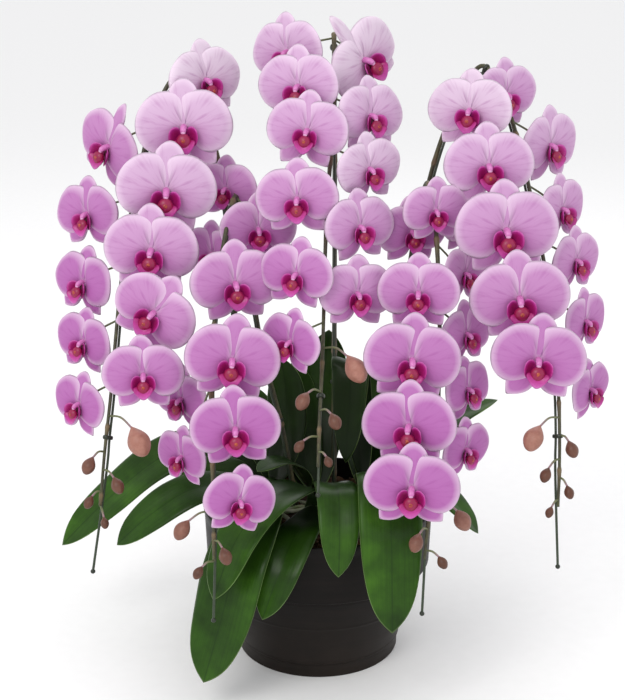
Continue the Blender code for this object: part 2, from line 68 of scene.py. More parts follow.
POT_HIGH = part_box("pot")[1]
POT_RIM = POT_HIGH.x
POT_TOP = POT_HIGH.z
POT_WALL = 0.0035
BAND_HEIGHT = 0.074
BAND_TAPER = 0.004
BAND_STEP = 0.008
FOOT_RADIUS = 0.0990
FOOT_HEIGHT = 0.018
FOOT_LEDGE = 0.0025
LIP_ROUND = 0.0016
HEM_ROUND = 0.002
LEDGE_ROUND = 0.0012
SOLE_ROUND = 0.0014
RIDGE_HEIGHT = 0.074
RIDGE_HALF_WIDTH = 0.0011
RIDGE_PROUD = 0.0005
MERGE = 0.000002  # seams and poles closer than this are one point


def linear(hex_colour):
    """sRGB hex to linear red, green, blue and an alpha of 1."""
    shares = np.array([int(hex_colour[i : i + 2], 16) for i in (1, 3, 5)]) / 255
    low = shares / 12.92
    high = ((shares + 0.055) / 1.055) ** 2.4
    return (*np.where(shares <= 0.04045, low, high).tolist(), 1.0)


def add_node(tree, kind, inputs=None, stops=(), **settings):
    """Add a shader node with its settings, its sockets filled by values, hex colours or links, and the colour
    stops of a ramp."""
    node = tree.nodes.new("ShaderNode" + kind)
    for setting, value in settings.items():
        setattr(node, setting, value)
    for socket, value in (inputs or {}).items():
        if isinstance(value, bpy.types.NodeSocket):
            tree.links.new(value, node.inputs[socket])
        else:
            node.inputs[socket].default_value = linear(value) if isinstance(value, str) else value
    if stops:
        stops = [(place, linear(colour)) for place, colour in stops]
        ends = node.color_ramp.elements
        ends[0].position, ends[0].color = stops[0]
        ends[1].position, ends[1].color = stops[-1]
        for place, colour in stops[1:-1]:
            ends.new(place).color = colour
    return node


def object_place(tree):
    """Where a point of the surface is, in metres."""
    return add_node(tree, "TexCoord").outputs["Object"]


def grown(tree):
    """A grid's own two coordinates, together and apart."""
    both = add_node(tree, "UVMap", uv_map="grow").outputs["UV"]
    parts = add_node(tree, "SeparateXYZ", {"Vector": both}).outputs
    return both, parts["X"], parts["Y"]


def read(tree, name="shade"):
    """The number that each point of a grid was given under a name."""
    return add_node(tree, "Attribute", attribute_name=name).outputs["Fac"]


def stretched(tree, place, *scale):
    """A place, scaled along each axis."""
    return add_node(tree, "Mapping", {"Vector": place, "Scale": scale}).outputs["Vector"]


def noise(tree, place, scale, detail=2.0, roughness=0.5, distortion=0.0):
    """Cloudy noise around 0.5, which lies between 0 and 1."""
    return add_node(tree, "TexNoise", {
        "Vector": place, "Scale": scale, "Detail": detail, "Roughness": roughness, "Distortion": distortion,
    }).outputs["Fac"]


def maths(tree, operation, *values):
    """One sum done on a value, or on two or three."""
    return add_node(tree, "Math", dict(enumerate(values)), operation=operation).outputs["Value"]


def spread(tree, value, start, end, first=0.0, last=1.0):
    """A value that runs from first to last while the given one runs from start to end, and stays there."""
    inputs = {"Value": value, "From Min": start, "From Max": end, "To Min": first, "To Max": last}
    return add_node(tree, "MapRange", inputs).outputs["Result"]


def mixed(tree, share, under, over, blend="MIX"):
    """A colour with a share of another over it."""
    inputs = {"Fac": share, "Color1": under, "Color2": over}
    return add_node(tree, "MixRGB", inputs, blend_type=blend).outputs["Color"]


def ramp(tree, value, *stops):
    """The colour that a value picks between the stops."""
    return add_node(tree, "ValToRGB", {"Fac": value}, stops).outputs["Color"]


def start_material(name, finish):
    """A material and its node tree, with the finish's constants on the shader's own sockets."""
    made = bpy.data.materials.new(name)
    made.use_nodes = True
    for socket, value in finish.items():
        made.node_tree.nodes["Principled BSDF"].inputs[socket].default_value = value
    return made, made.node_tree


def finished(made, colour, relief=None, strength=0.0, depth=0.0, rough=None):
    """The material, with its colour linked to its shader, and its bump and roughness where they vary."""
    tree = made.node_tree
    sockets = tree.nodes["Principled BSDF"].inputs
    tree.links.new(colour, sockets["Base Color"])
    if rough is not None:
        tree.links.new(rough, sockets["Roughness"])
    if relief is not None:
        bump = add_node(tree, "Bump", {"Height": relief, "Strength": strength, "Distance": depth})
        tree.links.new(bump.outputs["Normal"], sockets["Normal"])
    return made


def patch(points, uv=None, shade=0.0, look=0):
    """A grid of places, with the two coordinates and the shade that its material reads there."""
    rows, columns = points.shape[:2]
    if uv is None:
        uv = np.stack(np.meshgrid(np.linspace(0, 1, columns), np.linspace(0, 1, rows)), -1)
    return points, uv, np.broadcast_to(shade, (rows, columns)), look


def new_piece(name, patches, looks, slot, *nodes):
    """One object from grids: a face between each four neighbours, seams and poles merged."""
    starts = np.cumsum([0] + [shade.size for _, _, shade, _ in patches])
    numbers = [start + np.arange(p[2].size).reshape(p[2].shape) for start, p in zip(starts, patches)]
    quads = [np.stack([n[:-1, :-1], n[1:, :-1], n[1:, 1:], n[:-1, 1:]], -1).reshape(-1, 4) for n in numbers]
    corners = np.concatenate(quads)
    points = np.concatenate([p[0].reshape(-1, 3) for p in patches])
    mesh = bpy.data.meshes.new(name)
    mesh.from_pydata(points.tolist(), [], corners.tolist())
    uv = np.concatenate([p[1].reshape(-1, 2) for p in patches])
    mesh.uv_layers.new(name="grow").uv.foreach_set("vector", uv[corners.ravel()].ravel())
    shade = np.concatenate([p[2].reshape(-1) for p in patches])
    mesh.attributes.new("shade", "FLOAT", "POINT").data.foreach_set("value", shade)
    look_of = np.concatenate([np.full(len(q), p[3]) for q, p in zip(quads, patches)])
    mesh.polygons.foreach_set("material_index", look_of)
    for look in looks:
        mesh.materials.append(look)
    work = bmesh.new()
    work.from_mesh(mesh)
    bmesh.ops.remove_doubles(work, verts=work.verts, dist=MERGE)
    bmesh.ops.recalc_face_normals(work, faces=work.faces)
    work.to_mesh(mesh)
    work.free()
    mesh.shade_smooth()
    piece = bpy.data.objects.new(name, mesh)
    bpy.context.collection.objects.link(piece)
    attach(piece, "root")
    if nodes:
        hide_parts(*nodes)
    return piece


def round_corner(centre, radius, start, end, count):
    """Places (radius, height) on an arc round a centre, from one angle in degrees to another."""
    turn = np.radians(np.linspace(start, end, count))
    return np.stack([centre[0] + radius * np.cos(turn), centre[1] + radius * np.sin(turn)], -1)


def turn_profile(profile, steps):
    """The surface of a profile (radius, height) turned about Z: (r cos a, r sin a, z)."""
    turn = np.linspace(0, 2 * np.pi, steps + 1)
    r, z = profile[:, :1], profile[:, 1:]
    return np.stack([r * np.cos(turn), r * np.sin(turn), z + 0 * turn], -1)


def pot_profile():
    """The pot's section from the middle of its floor, up its inside, over its lip and down its outside."""
    band_low = POT_TOP - BAND_HEIGHT
    band_foot = POT_RIM - BAND_TAPER
    body_top = band_foot - BAND_STEP
    ledge = FOOT_RADIUS + FOOT_LEDGE
    lip = (POT_RIM - LIP_ROUND, POT_TOP - LIP_ROUND)
    wall_high = np.array([[POT_RIM - POT_WALL, POT_TOP - 0.006]])
    inside = np.array([
        (0.0, POT_WALL), (FOOT_RADIUS - POT_WALL, POT_WALL), (body_top - POT_WALL, band_low - 0.004),
        (band_foot - POT_WALL, band_low + 0.004),
    ])
    outer_high = np.array([(POT_RIM - 0.0012, POT_TOP - 0.0105), (POT_RIM - 0.0016, POT_TOP - 0.0115)])
    band = np.linspace((POT_RIM - 0.0018, POT_TOP - 0.016), (band_foot, band_low + 0.003), 6)
    hem = round_corner((band_foot - HEM_ROUND, band_low + HEM_ROUND), HEM_ROUND, 0, -90, 5)
    tuck = round_corner((body_top + HEM_ROUND, band_low - 0.0045), HEM_ROUND, 90, 180, 4)
    share = np.linspace(0, 1, 70)[:, None]
    body = (1 - share) * (body_top, band_low - 0.006) + share * (ledge, FOOT_HEIGHT + 0.003)
    body[:, 0] += RIDGE_PROUD * np.exp(-(((body[:, 1] - RIDGE_HEIGHT) / RIDGE_HALF_WIDTH) ** 2))
    step = round_corner((ledge - LEDGE_ROUND, FOOT_HEIGHT + LEDGE_ROUND), LEDGE_ROUND, 0, -90, 4)
    foot = np.array([(FOOT_RADIUS, FOOT_HEIGHT - 0.001), (FOOT_RADIUS, 0.0016)])
    sole = round_corner((FOOT_RADIUS - SOLE_ROUND, SOLE_ROUND), SOLE_ROUND, 0, -90, 4)
    under = np.array([(FOOT_RADIUS - 0.008, 0.0), (FOOT_RADIUS - 0.012, 0.0016), (0.0, 0.0016)])
    lip_arc = round_corner(lip, LIP_ROUND, 180, 0, 9)
    return np.concatenate([
        inside, wall_high, lip_arc, outer_high, band, hem, tuck, body, step, foot, sole, under,
    ])


def moulded_polypropylene():
    """Dark pigmented polypropylene from a fine-sparked mould: satin and scuffed, with dried water marks
    that grow stronger towards the foot."""
    made, tree = start_material("moulded_polypropylene", {"IOR": 1.49, "Specular IOR Level": 0.14})
    place = object_place(tree)
    height = add_node(tree, "SeparateXYZ", {"Vector": place}).outputs["Z"]
    streaks = noise(tree, stretched(tree, place, 1.0, 1.0, 14.0), 9.0, 5.0, 0.6)
    grain = noise(tree, place, 900.0)
    marks = noise(tree, place, 26.0, 6.0, 0.65)
    dusty = maths(tree, "MULTIPLY", spread(tree, height, 0.115, 0.005), marks)
    body = ramp(tree, streaks, (0.25, "#0C0A08"), (0.55, "#130F0D"), (0.80, "#1B1613"))
    base = mixed(tree, dusty, body, "#2C2520")
    rough = spread(tree, streaks, 0.0, 1.0, 0.36, 0.56)
    return finished(made, base, maths(tree, "ADD", grain, streaks), 0.25, 0.0004, rough)


new_piece("moulded_pot", [patch(turn_profile(pot_profile(), 192))], [moulded_polypropylene()], "pot", "pot")

# ==== the growing medium ========================================================================
# Graded pine bark, 8 to 20 mm, heaped a little towards the middle and sunk below the lip so that
# water stays in. The chips are cracked from slabs, so they are flat, angular and rough.

MEDIUM_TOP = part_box("growing_medium")[1].z
MEDIUM_RADIUS = POT_RIM - POT_WALL - 0.0015
MEDIUM_DOME = 0.006
CHIPS = 620
CHIP_LENGTHS = (0.008, 0.020)


def disc(rows, columns):
    """A square grid drawn out to a round one: p = a sqrt(1 - b²/2) across, q = b sqrt(1 - a²/2) along."""
    b, a = np.meshgrid(np.linspace(-1, 1, rows), np.linspace(-1, 1, columns), indexing="ij")
    return a * np.sqrt(1 - b * b / 2), b * np.sqrt(1 - a * a / 2)


def chip_grids(rng):
    """Bark chips: boxes with pinched ends, rings of 8 places on 5 levels, tilted and strewn on the heap."""
    level = np.array([-1.0, -0.92, 0.0, 0.92, 1.0])[:, None]
    size = np.array([0.0, 0.80, 1.0, 0.84, 0.0])[:, None]
    turn = np.linspace(0, 2 * np.pi, 9)
    ring = np.stack([np.cos(turn), np.sin(turn)], -1)
    ring /= np.maximum(np.abs(ring[:, :1]), np.abs(ring[:, 1:])) ** 0.75
    for _ in range(CHIPS):
        length = rng.uniform(*CHIP_LENGTHS)
        half = 0.5 * length * np.array([1.0, rng.uniform(0.45, 0.8), rng.uniform(0.18, 0.35)])
        knock = 1 + rng.normal(0, 0.13, (5, 9))
        knock[:, -1] = knock[:, 0]
        x = np.broadcast_to(level, (5, 9))
        y = size * ring[:, 0] * knock
        z = size * ring[:, 1] * knock
        body = np.stack([x, y, z], -1) * half
        spin = np.linalg.qr(rng.normal(0, 0.55, (3, 3)) + np.diag([1.0, 1.0, 2.2]))[0]
        way, reach = rng.uniform(0, 2 * np.pi), MEDIUM_RADIUS * np.sqrt(rng.uniform(0, 1))
        reach = min(reach, MEDIUM_RADIUS - 0.55 * length)
        sunk = MEDIUM_TOP - MEDIUM_DOME * (reach / MEDIUM_RADIUS) ** 2 - rng.uniform(0.0, 0.004)
        heart = np.array([reach * np.cos(way), reach * np.sin(way), sunk])
        yield patch(body @ spin.T + heart, shade=rng.uniform(0, 1))


def heap_grid():
    """The bed under the chips: a dome z = top - dome r², roughened by two crossed waves but for its edge."""
    p, q = disc(56, 56)
    r = np.hypot(p, q)
    lumps = 0.0022 * np.sin(61 * p + 3 * np.sin(23 * q)) * np.sin(57 * q + 2 * np.sin(31 * p))
    top = MEDIUM_TOP - 0.006 - MEDIUM_DOME * r**2 + lumps * (r < 0.97)
    return np.stack([p * MEDIUM_RADIUS, q * MEDIUM_RADIUS, top], -1)


def pine_bark():
    """Composted pine bark: matt, from grey-brown corky faces to red-brown broken ones."""
    made, tree = start_material("pine_bark", {"Roughness": 0.92, "Specular IOR Level": 0.25})
    cork = noise(tree, object_place(tree), 260.0, 5.0, 0.7)
    body = ramp(tree, read(tree), (0.0, "#3A2518"), (0.45, "#5C3B25"), (0.8, "#7A5638"), (1.0, "#8B7357"))
    return finished(made, mixed(tree, cork, "#1E130C", body), cork, 0.8, 0.0008)


def both_skins(middle, thickness, power=8):
    """A sheet's two skins: the middle surface plus and minus its normal times half the thickness, which
    falls off as sqrt(1 - e^power) towards the grid's edge e = 1, where the skins meet."""
    rows, columns = middle.shape[:2]
    normal = np.cross(np.gradient(middle, axis=0), np.gradient(middle, axis=1))
    normal /= np.linalg.norm(normal, axis=-1, keepdims=True) + 1e-12
    edge = np.maximum(np.abs(np.linspace(-1, 1, rows))[:, None], np.abs(np.linspace(-1, 1, columns)))
    offset = normal * (0.5 * thickness * np.sqrt(1 - edge**power))[..., None]
    return middle + offset, middle - offset


BED_THICKNESS = 0.010
bark = [patch(skin, shade=0.1) for skin in both_skins(heap_grid(), BED_THICKNESS)]
bark += chip_grids(np.random.default_rng(11))
new_piece("bark_medium", bark, [pine_bark()], "growing_medium", "growing_medium")

# ==== the three plants ==========================================================================
# Each plant is a short crown of clasped leaf bases with six or seven leathery strap leaves, keeled
# along the midrib, and a few thick grey-green air roots that go down into the bark.

LEAF_THICKNESS = 0.0022
LEAF_FOLD = 0.16  # rise of a leaf's edges over its half width
LEAF_PEAK = 1.25  # above 1, a leaf is widest past its middle
DRAWN_RIM = 0.1410  # the rim that the leaves' routes are drawn for
CROWN_RADIUS = 0.0165
CROWN_HEIGHT = 0.045
ROOT_RADIUS = 0.0027
MILLIMETRES = 1000  # in a metre

# In millimetres. crown: where it stands. leaves: midrib places (x, y, height above the rim), greatest width,
# and how many degrees the blade is turned about its midrib, if it is.
PLANTS = {
    "left": ((-60, 5), [
        ([(-60, 10, 5), (-110, 22, 48), (-180, 30, 50), (-255, 15, -2), (-318, 0, -62)], 60, 38),
        ([(-62, -2, 4), (-100, -30, 30), (-150, -50, 34), (-200, -62, 6), (-240, -70, -29)], 52, 26),
        ([(-58, -4, 4), (-68, -60, 18), (-78, -115, 20), (-94, -155, -14), (-112, -172, -80),
          (-132, -180, -150)], 78),
        ([(-54, 12, 8), (-40, 45, 70), (-40, 65, 120), (-46, 72, 160)], 50),
        ([(-62, 12, 4), (-75, 70, 50), (-90, 130, 55), (-105, 188, 10)], 58),
    ]),
    "centre": ((-2, -10), [
        ([(-4, -16, 0), (-12, -70, 4), (-26, -125, 10), (-44, -160, -18), (-64, -176, -72)], 52),
        ([(0, -16, 12), (-20, -75, 48), (-60, -128, 52), (-94, -166, 18), (-118, -190, -40)], 62),
        ([(0, -14, 8), (14, -75, 52), (22, -130, 64), (23, -165, 30), (22, -178, -18)], 50),
        ([(-6, -8, 12), (-26, -20, 52), (-48, -40, 66), (-72, -62, 62)], 40),
        ([(-4, -2, 6), (-14, 30, 14), (-24, 90, 40), (-32, 160, 35), (-36, 210, -15)], 60),
    ]),
    "right": ((58, 2), [
        ([(60, -6, 4), (70, -70, 60), (78, -130, 80), (80, -176, 36), (81, -194, -20),
          (82, -202, -75)], 72),
        ([(56, 12, 10), (50, 40, 80), (42, 40, 150), (40, 10, 170), (37, -15, 120), (33, -30, 60)], 50),
        ([(66, 6, 6), (115, 44, 55), (172, 58, 85), (224, 61, 108)], 52),
        ([(66, -4, 4), (110, -25, 30), (155, -50, 24), (190, -70, -14)], 48),
        ([(58, 12, 4), (60, 75, 40), (72, 135, 50), (90, 190, 5)], 58),
    ]),
}

# Leaves that stand behind the modelled ones and close the view between the stems.
FURTHER_LEAVES = {
    "left": [
        ([(-62, 0, 4), (-98, -12, 34), (-135, -22, 40), (-176, -30, 18)], 58, 30),
        ([(-56, 12, 6), (-66, 55, 50), (-80, 90, 85), (-98, 110, 110)], 54),
    ],
    "centre": [
        ([(0, 6, 6), (0, 60, 35), (4, 98, 85), (10, 112, 140), (14, 108, 185)], 64),
        ([(-6, 6, 6), (-20, 58, 45), (-26, 94, 95), (-32, 100, 145)], 56),
    ],
    "right": [
        ([(60, 12, 6), (74, 55, 60), (84, 88, 110), (96, 100, 150)], 56),
    ],
}


def unit(vectors):
    """Each vector over its own length."""
    return vectors / np.linalg.norm(vectors, axis=-1, keepdims=True)


def smooth_route(points, count):
    """`count` places an equal way apart on the Catmull-Rom curve through the points, which from b to c
    runs b + (c - a)t/2 + (2a - 5b + 4c - d)t²/2 + (3b - a - 3c + d)t³/2."""
    knots = np.array(points, float)
    knots = np.vstack([2 * knots[0] - knots[1], knots, 2 * knots[-1] - knots[-2]])
    a, b, c, d = (knots[i : len(knots) - 3 + i, None] for i in range(4))
    t = np.linspace(0, 1, 24, endpoint=False)[:, None]
    fine = b + (c - a) * t / 2 + (2 * a - 5 * b + 4 * c - d) * t**2 / 2 + (3 * b - a - 3 * c + d) * t**3 / 2
    fine = np.vstack([fine.reshape(-1, 3), knots[-2]])
    run = np.concatenate([[0.0], np.cumsum(np.linalg.norm(np.diff(fine, axis=0), axis=1))])
    wanted = np.linspace(0, run[-1], count)
    return np.stack([np.interp(wanted, run, fine[:, k]) for k in range(3)], -1)


def tube(path, radii, sides, look=0, shade=0.0):
    """A circle carried along a path: the centre plus radius (cos a side + sin a up), closed at its ends.
    side lies near the normal of the plane that fits the path best, so the circle never flips."""
    along = unit(np.gradient(path, axis=0))
    flat = np.linalg.svd(path - path.mean(0))[2][-1]
    up = unit(np.cross(along, flat))
    side = np.cross(up, along)
    turn = np.linspace(0, 2 * np.pi, sides + 1)[:, None]
    ring = np.cos(turn) * side[:, None] + np.sin(turn) * up[:, None]
    radii = np.broadcast_to(radii, len(path))[:, None, None]
    skin = path[:, None] + radii * ring
    ends = np.ones((1, sides + 1, 1))
    skin = np.concatenate([path[0] * ends, skin, path[-1] * ends])
    return patch(skin, look=look, shade=shade)


def over_rim(points):
    """Leaf places in metres, carried outwards with the pot's rim, and up to its height."""
    x, y, height = np.array(points).T / MILLIMETRES
    reach = np.hypot(x, y)
    share = np.clip((reach - 0.060) / 0.080, 0, 1)
    pushed = 1 + (POT_RIM - DRAWN_RIM) * share / reach
    return np.stack([x * pushed, y * pushed, POT_TOP + height], -1)


def leaf_skins(wave, route, width, turned=0):
    """A strap leaf on the round grid (p across, q along): it lies at share ((1 + q)/2)^(1/peak) of the
    midrib, p half widths to the side, drawn in to a point by sqrt(1 - q⁹), and rises fold times
    sqrt(p² + 0.01), with its edges rolled down by p⁴ and waved by two sines."""
    p, q = disc(57, 25)
    rim = p * p + q * q
    fine = smooth_route(over_rim(route), 240)
    share = ((1 + q) / 2) ** (1 / LEAF_PEAK)
    heading = (fine[-1] - fine[0]) * (1, 1, 0)
    across = unit(np.cross(heading, (0, 0, 1)))
    place = share * (len(fine) - 1)
    steps = np.arange(len(fine))
    middle = np.stack([np.interp(place, steps, fine[:, k]) for k in range(3)], -1)
    slope = unit(np.gradient(fine, axis=0))
    along = unit(np.stack([np.interp(place, steps, slope[:, k]) for k in range(3)], -1))
    side = unit(across - (along @ across)[..., None] * along)
    face = np.cross(side, along)
    c, s = np.cos(np.radians(turned)), np.sin(np.radians(turned))
    side, face = c * side + s * face, c * face - s * side
    half = width / MILLIMETRES / 2
    p = p * np.sqrt(1 - q.clip(0) ** 9)
    lift = LEAF_FOLD * half * (np.sqrt(p * p + 0.01) - 0.10) - 0.10 * half * p**4
    lift += 0.045 * half * p * np.sin(9 * share + wave)
    lift += 0.03 * half * p * p * np.sin(17 * share + 2 * wave)
    sheet = middle + side * (p * half)[..., None] + face * lift[..., None]
    uv = np.stack([0.5 + p * half * 10, share], -1)
    return [patch(skin, uv, rim) for skin in both_skins(sheet, LEAF_THICKNESS)]


def crown_grid(x, y):
    """Clasped leaf bases: a cone frustum with two ranks of folds, r (1 + 0.22 |cos a|), and a faint wave."""
    level = np.linspace(0, 1, 28)[:, None]
    turn = np.linspace(0, 2 * np.pi, 33)
    folds = 1 + 0.22 * np.abs(np.cos(turn)) + 0.05 * np.sin(14 * level + turn)
    radius = CROWN_RADIUS * (1 - 0.45 * level) * folds / 1.22
    radius = radius * np.where((level == 0) | (level == 1), 0, 1)
    height = MEDIUM_TOP - 0.002 + CROWN_HEIGHT * level + 0 * turn
    return patch(np.stack([x + radius * np.cos(turn), y + radius * np.sin(turn), height], -1), shade=0.4)


def root_tubes(x, y, rng):
    """Air roots: arcs that leave the crown's foot, hump over the bark and go into it."""
    for way in rng.uniform(0, 2 * np.pi, 5):
        out = np.array([np.cos(way), np.sin(way), 0.0])
        bend = np.array([-out[1], out[0], 0.0]) * rng.uniform(-0.012, 0.012)
        start = np.array([x, y, MEDIUM_TOP]) + out * CROWN_RADIUS * 0.6
        hump = rng.uniform(0.006, 0.012)
        reach = rng.uniform(0.030, 0.048)
        knots = [
            start + (0, 0, 0.010), start + out * reach * 0.4 + (0, 0, hump),
            start + out * reach * 0.8 + bend + (0, 0, 0.002), start + out * reach + bend - (0, 0, 0.012),
        ]
        yield tube(smooth_route(knots, 24), ROOT_RADIUS * rng.uniform(0.8, 1.1), 10, look=1)


def leaf_blade():
    """A waxy evergreen blade: deep green, with a dark groove on the midrib, fine side-by-side veins and thin
    pale edges, and painted shade that darkens it by the crown and towards the pot's middle."""
    made, tree = start_material("waxy_leaf_blade", {
        "IOR": 1.45, "Specular IOR Level": 0.18, "Coat Weight": 0.06, "Coat Roughness": 0.22,
    })
    place = object_place(tree)
    grow, across, along = grown(tree)
    mottle = noise(tree, place, 16.0, 4.0, 0.55)
    veins = noise(tree, stretched(tree, grow, 60.0, 2.2, 1.0), 1.0, 3.0)
    body = ramp(tree, mottle, (0.30, "#1B3409"), (0.52, "#2A4C0E"), (0.75, "#3F6A18"))
    veined = mixed(tree, 0.32, body, veins, "SOFT_LIGHT")
    off_midrib = maths(tree, "ABSOLUTE", maths(tree, "SUBTRACT", across, 0.5))
    ribbed = mixed(tree, spread(tree, off_midrib, 0.004, 0.014, 0.45, 0.0), veined, "#152C0A")
    # painted shade: the blade darkens towards the crown, in the shade of the plant
    crown_shaded = mixed(tree, spread(tree, along, 0.12, 0.72, 0.82, 0.0), ribbed, "#0F2207")
    # painted shade: the blades darken towards the pot's middle, under the flowers and the other leaves
    level = stretched(tree, place, 1.0, 1.0, 0.0)
    reach = add_node(tree, "VectorMath", {0: level}, operation="LENGTH").outputs["Value"]
    shaded = mixed(tree, spread(tree, reach, 0.05, 0.19, 0.80, 0.0), crown_shaded, "#101F08")
    edged = mixed(tree, spread(tree, read(tree), 0.955, 0.995, 0.0, 0.6), shaded, "#7F9C5C")
    return finished(made, edged, veins, 0.35, 0.0006, spread(tree, mottle, 0.0, 1.0, 0.26, 0.44))


def air_root():
    """Velamen, the spongy skin of an air root: silver-grey when dry, greener where it is damp."""
    made, tree = start_material("air_root_velamen", {"Roughness": 0.75})
    damp = noise(tree, object_place(tree), 90.0, 4.0)
    return finished(made, ramp(tree, damp, (0.3, "#6F7F4E"), (0.6, "#A5AC92"), (0.8, "#C2C4B4")))


leaf_looks = [leaf_blade(), air_root()]
plant_rng = np.random.default_rng(5)
for name, (crown, leaves) in PLANTS.items():
    x, y = np.array(crown) / MILLIMETRES
    patches = [crown_grid(x, y), *root_tubes(x, y, plant_rng)]
    for leaf in leaves + FURTHER_LEAVES[name]:
        patches += leaf_skins(plant_rng.uniform(0, 6), *leaf)
    new_piece(f"leaves_{name}", patches, leaf_looks, "leaf", f"orchid_plant_{name}")

# ==== the flower spikes =========================================================================
# Five peduncles, woody and dark below and greener at the tip, that rise from the crowns and arch
# over. A dry sheath clasps each joint, and the last closed buds hang on short stalks at the tip.

STEM_RADIUS = 0.0030
STEM_SIDES = 14
JOINT_SPACING = 0.078
SHEATH_PROUD = 0.0011
STALK_RADIUS = 0.0012
BUD_FULLER = 1.20  # the buds' length over the modelled length

# In millimetres: the stem's places (x, y, height above the medium), the wire's end, and the buds (x, y,
# height, length).
SPIKES = {
    1: (
        [(-98, 50, 0), (-100, 58, 180), (-108, 66, 350), (-130, 70, 470), (-160, 66, 528),
         (-190, 48, 488), (-206, 18, 428), (-218, -8, 368), (-227, -35, 303), (-232, -65, 243),
         (-236, -92, 188), (-242, -120, 128), (-247, -138, 70)],
        (-257, -150, -6),
        [(-200, -150, 153, 32), (-257, -140, 120, 19), (-226, -145, 98, 18), (-258, -146, 78, 14),
         (-240, -158, 58, 12)],
    ),
    2: (
        [(-26, 10, 0), (-43, 18, 100), (-68, 36, 200), (-85, 43, 308), (-95, 20, 390), (-103, -20, 374),
         (-112, -60, 323), (-118, -95, 258), (-120, -125, 193), (-118, -155, 128), (-116, -185, 73),
         (-115, -205, 33)],
        (-116, -216, -33),
        [(-149, -196, 67, 22), (-102, -216, 45, 18), (-131, -218, 26, 14)],
    ),
    3: (
        [(20, 40, 0), (20, 70, 180), (20, 88, 380), (19, 90, 510), (18, 74, 572), (18, 45, 538),
         (17, 15, 483), (12, -15, 423), (8, -45, 358), (6, -75, 293), (4, -105, 233), (1, -140, 178),
         (-1, -165, 128)],
        (-1, -178, 100),
        [(40, -130, 231, 30), (-17, -152, 201, 20), (17, -162, 181, 18), (-21, -168, 154, 14),
         (10, -178, 140, 12)],
    ),
    4: (
        [(100, 10, 0), (100, 12, 90), (101, 24, 180), (110, 42, 308), (125, 30, 403), (132, -10, 388),
         (135, -50, 333), (136, -85, 268), (134, -118, 203), (132, -150, 138), (122, -180, 78),
         (116, -200, 33)],
        (114, -210, -28),
        [(159, -170, 67, 24), (106, -214, 60, 20), (135, -205, 32, 14)],
    ),
    5: (
        [(86, 58, 0), (100, 72, 180), (125, 80, 358), (155, 90, 468), (190, 80, 535), (215, 52, 503),
         (232, 15, 448), (246, -20, 383), (258, -52, 318), (266, -82, 253), (270, -110, 188),
         (270, -135, 128), (269, -148, 73)],
        (272, -150, 0),
        [(237, -158, 160, 28), (281, -146, 142, 18), (252, -158, 116, 16), (279, -155, 94, 14),
         (258, -160, 72, 12)],
    ),
}


def above_medium(points):
    """Places in metres, their heights counted from the medium's top."""
    return np.array(points) / MILLIMETRES + (0, 0, MEDIUM_TOP)


def stem_tube(path):
    """A stem slimming to about half at its tip, its sheaths one at each joint: a step that tapers off."""
    run = np.concatenate([[0.0], np.cumsum(np.linalg.norm(np.diff(path, axis=0), axis=1))])
    radii = STEM_RADIUS * (1 - 0.45 * (run / run[-1]) ** 2)
    sheath = np.where(run > 0.030, np.exp(-((run - 0.030) % JOINT_SPACING) / 0.009), 0)
    shade = np.pad(sheath, 1, mode="edge")[:, None] * np.ones(STEM_SIDES + 1)
    return tube(path, radii + SHEATH_PROUD * sheath, STEM_SIDES, shade=shade)


def nearest(path, place):
    """The point of a path that is nearest a place."""
    return path[np.linalg.norm(path - place, axis=1).argmin()]


def bud_grid(top, hang, length, shade):
    """A closed bud along `hang`: radius 0.335 length sin(pi t^1.2)^(0.90 - 0.40 t), creased by three
    sepal seams."""
    t = (1 - np.cos(np.linspace(0, np.pi, 21)[:, None])) / 2
    turn = np.linspace(0, 2 * np.pi, 31)
    seams = 1 - 0.09 * np.abs(np.cos(1.5 * turn)) ** 8
    radius = 0.335 * length * np.sin(np.pi * t**1.2).clip(0) ** (0.90 - 0.40 * t) * seams
    side = unit(np.cross(hang, (0.3, 1.0, 0.1)))
    up = np.cross(side, hang)
    ring = np.cos(turn)[:, None] * side + np.sin(turn)[:, None] * up
    return patch(top + hang * (length * t)[..., None] + radius[..., None] * ring, shade=shade, look=1)


def bud_patches(path, x, y, height, length):
    """A bud hanging at its place from a curved stalk that leaves the stem a little above it."""
    middle = above_medium([x, y, height])
    length = BUD_FULLER * (length / MILLIMETRES)
    joint = nearest(path, middle + (0, 0, 0.8 * length))
    hang = unit(unit(middle - joint) + (0, 0, -0.80))
    top = middle - hang * 0.5 * length
    bend = joint + (top - joint) * 0.55 + (0, 0, 0.12 * length)
    yield tube(smooth_route([joint, bend, top + hang * 0.08 * length], 14), STALK_RADIUS, 8, look=2)
    yield bud_grid(top, hang, length, np.clip((length - 0.020) / 0.015, 0, 1))


def peduncle():
    """A lignified flower stem: dark olive brown and satin, with papery brown sheaths at the joints."""
    made, tree = start_material("woody_peduncle", {"Roughness": 0.5, "Specular IOR Level": 0.45})
    mottle = noise(tree, stretched(tree, object_place(tree), 1.0, 1.0, 0.2), 320.0, 4.0, 0.6)
    body = ramp(tree, mottle, (0.30, "#2E2C20"), (0.52, "#45452E"), (0.75, "#5B6138"))
    return finished(made, mixed(tree, read(tree), body, "#7A6548"), mottle, 0.4, 0.0003)


def closed_bud():
    """Closed sepals: brown and matt while small, swelling to a waxy pinkish tan."""
    made, tree = start_material("closed_sepals", {"Roughness": 0.46, "Specular IOR Level": 0.45})
    mottle = noise(tree, object_place(tree), 150.0, 4.0, 0.6)
    young = mixed(tree, mottle, "#3A2118", "#704430")
    ripe = mixed(tree, mottle, "#80493C", "#B98676")
    return finished(made, mixed(tree, read(tree), young, ripe))


def green_stalk():
    """A young stalk: smooth pale green that blushes pink towards its flower."""
    made, tree = start_material("young_stalk", {"Roughness": 0.45})
    along = grown(tree)[2]
    return finished(made, ramp(tree, along, (0.0, "#4A5030"), (0.5, "#6E744C"), (1.0, "#A0788A")))


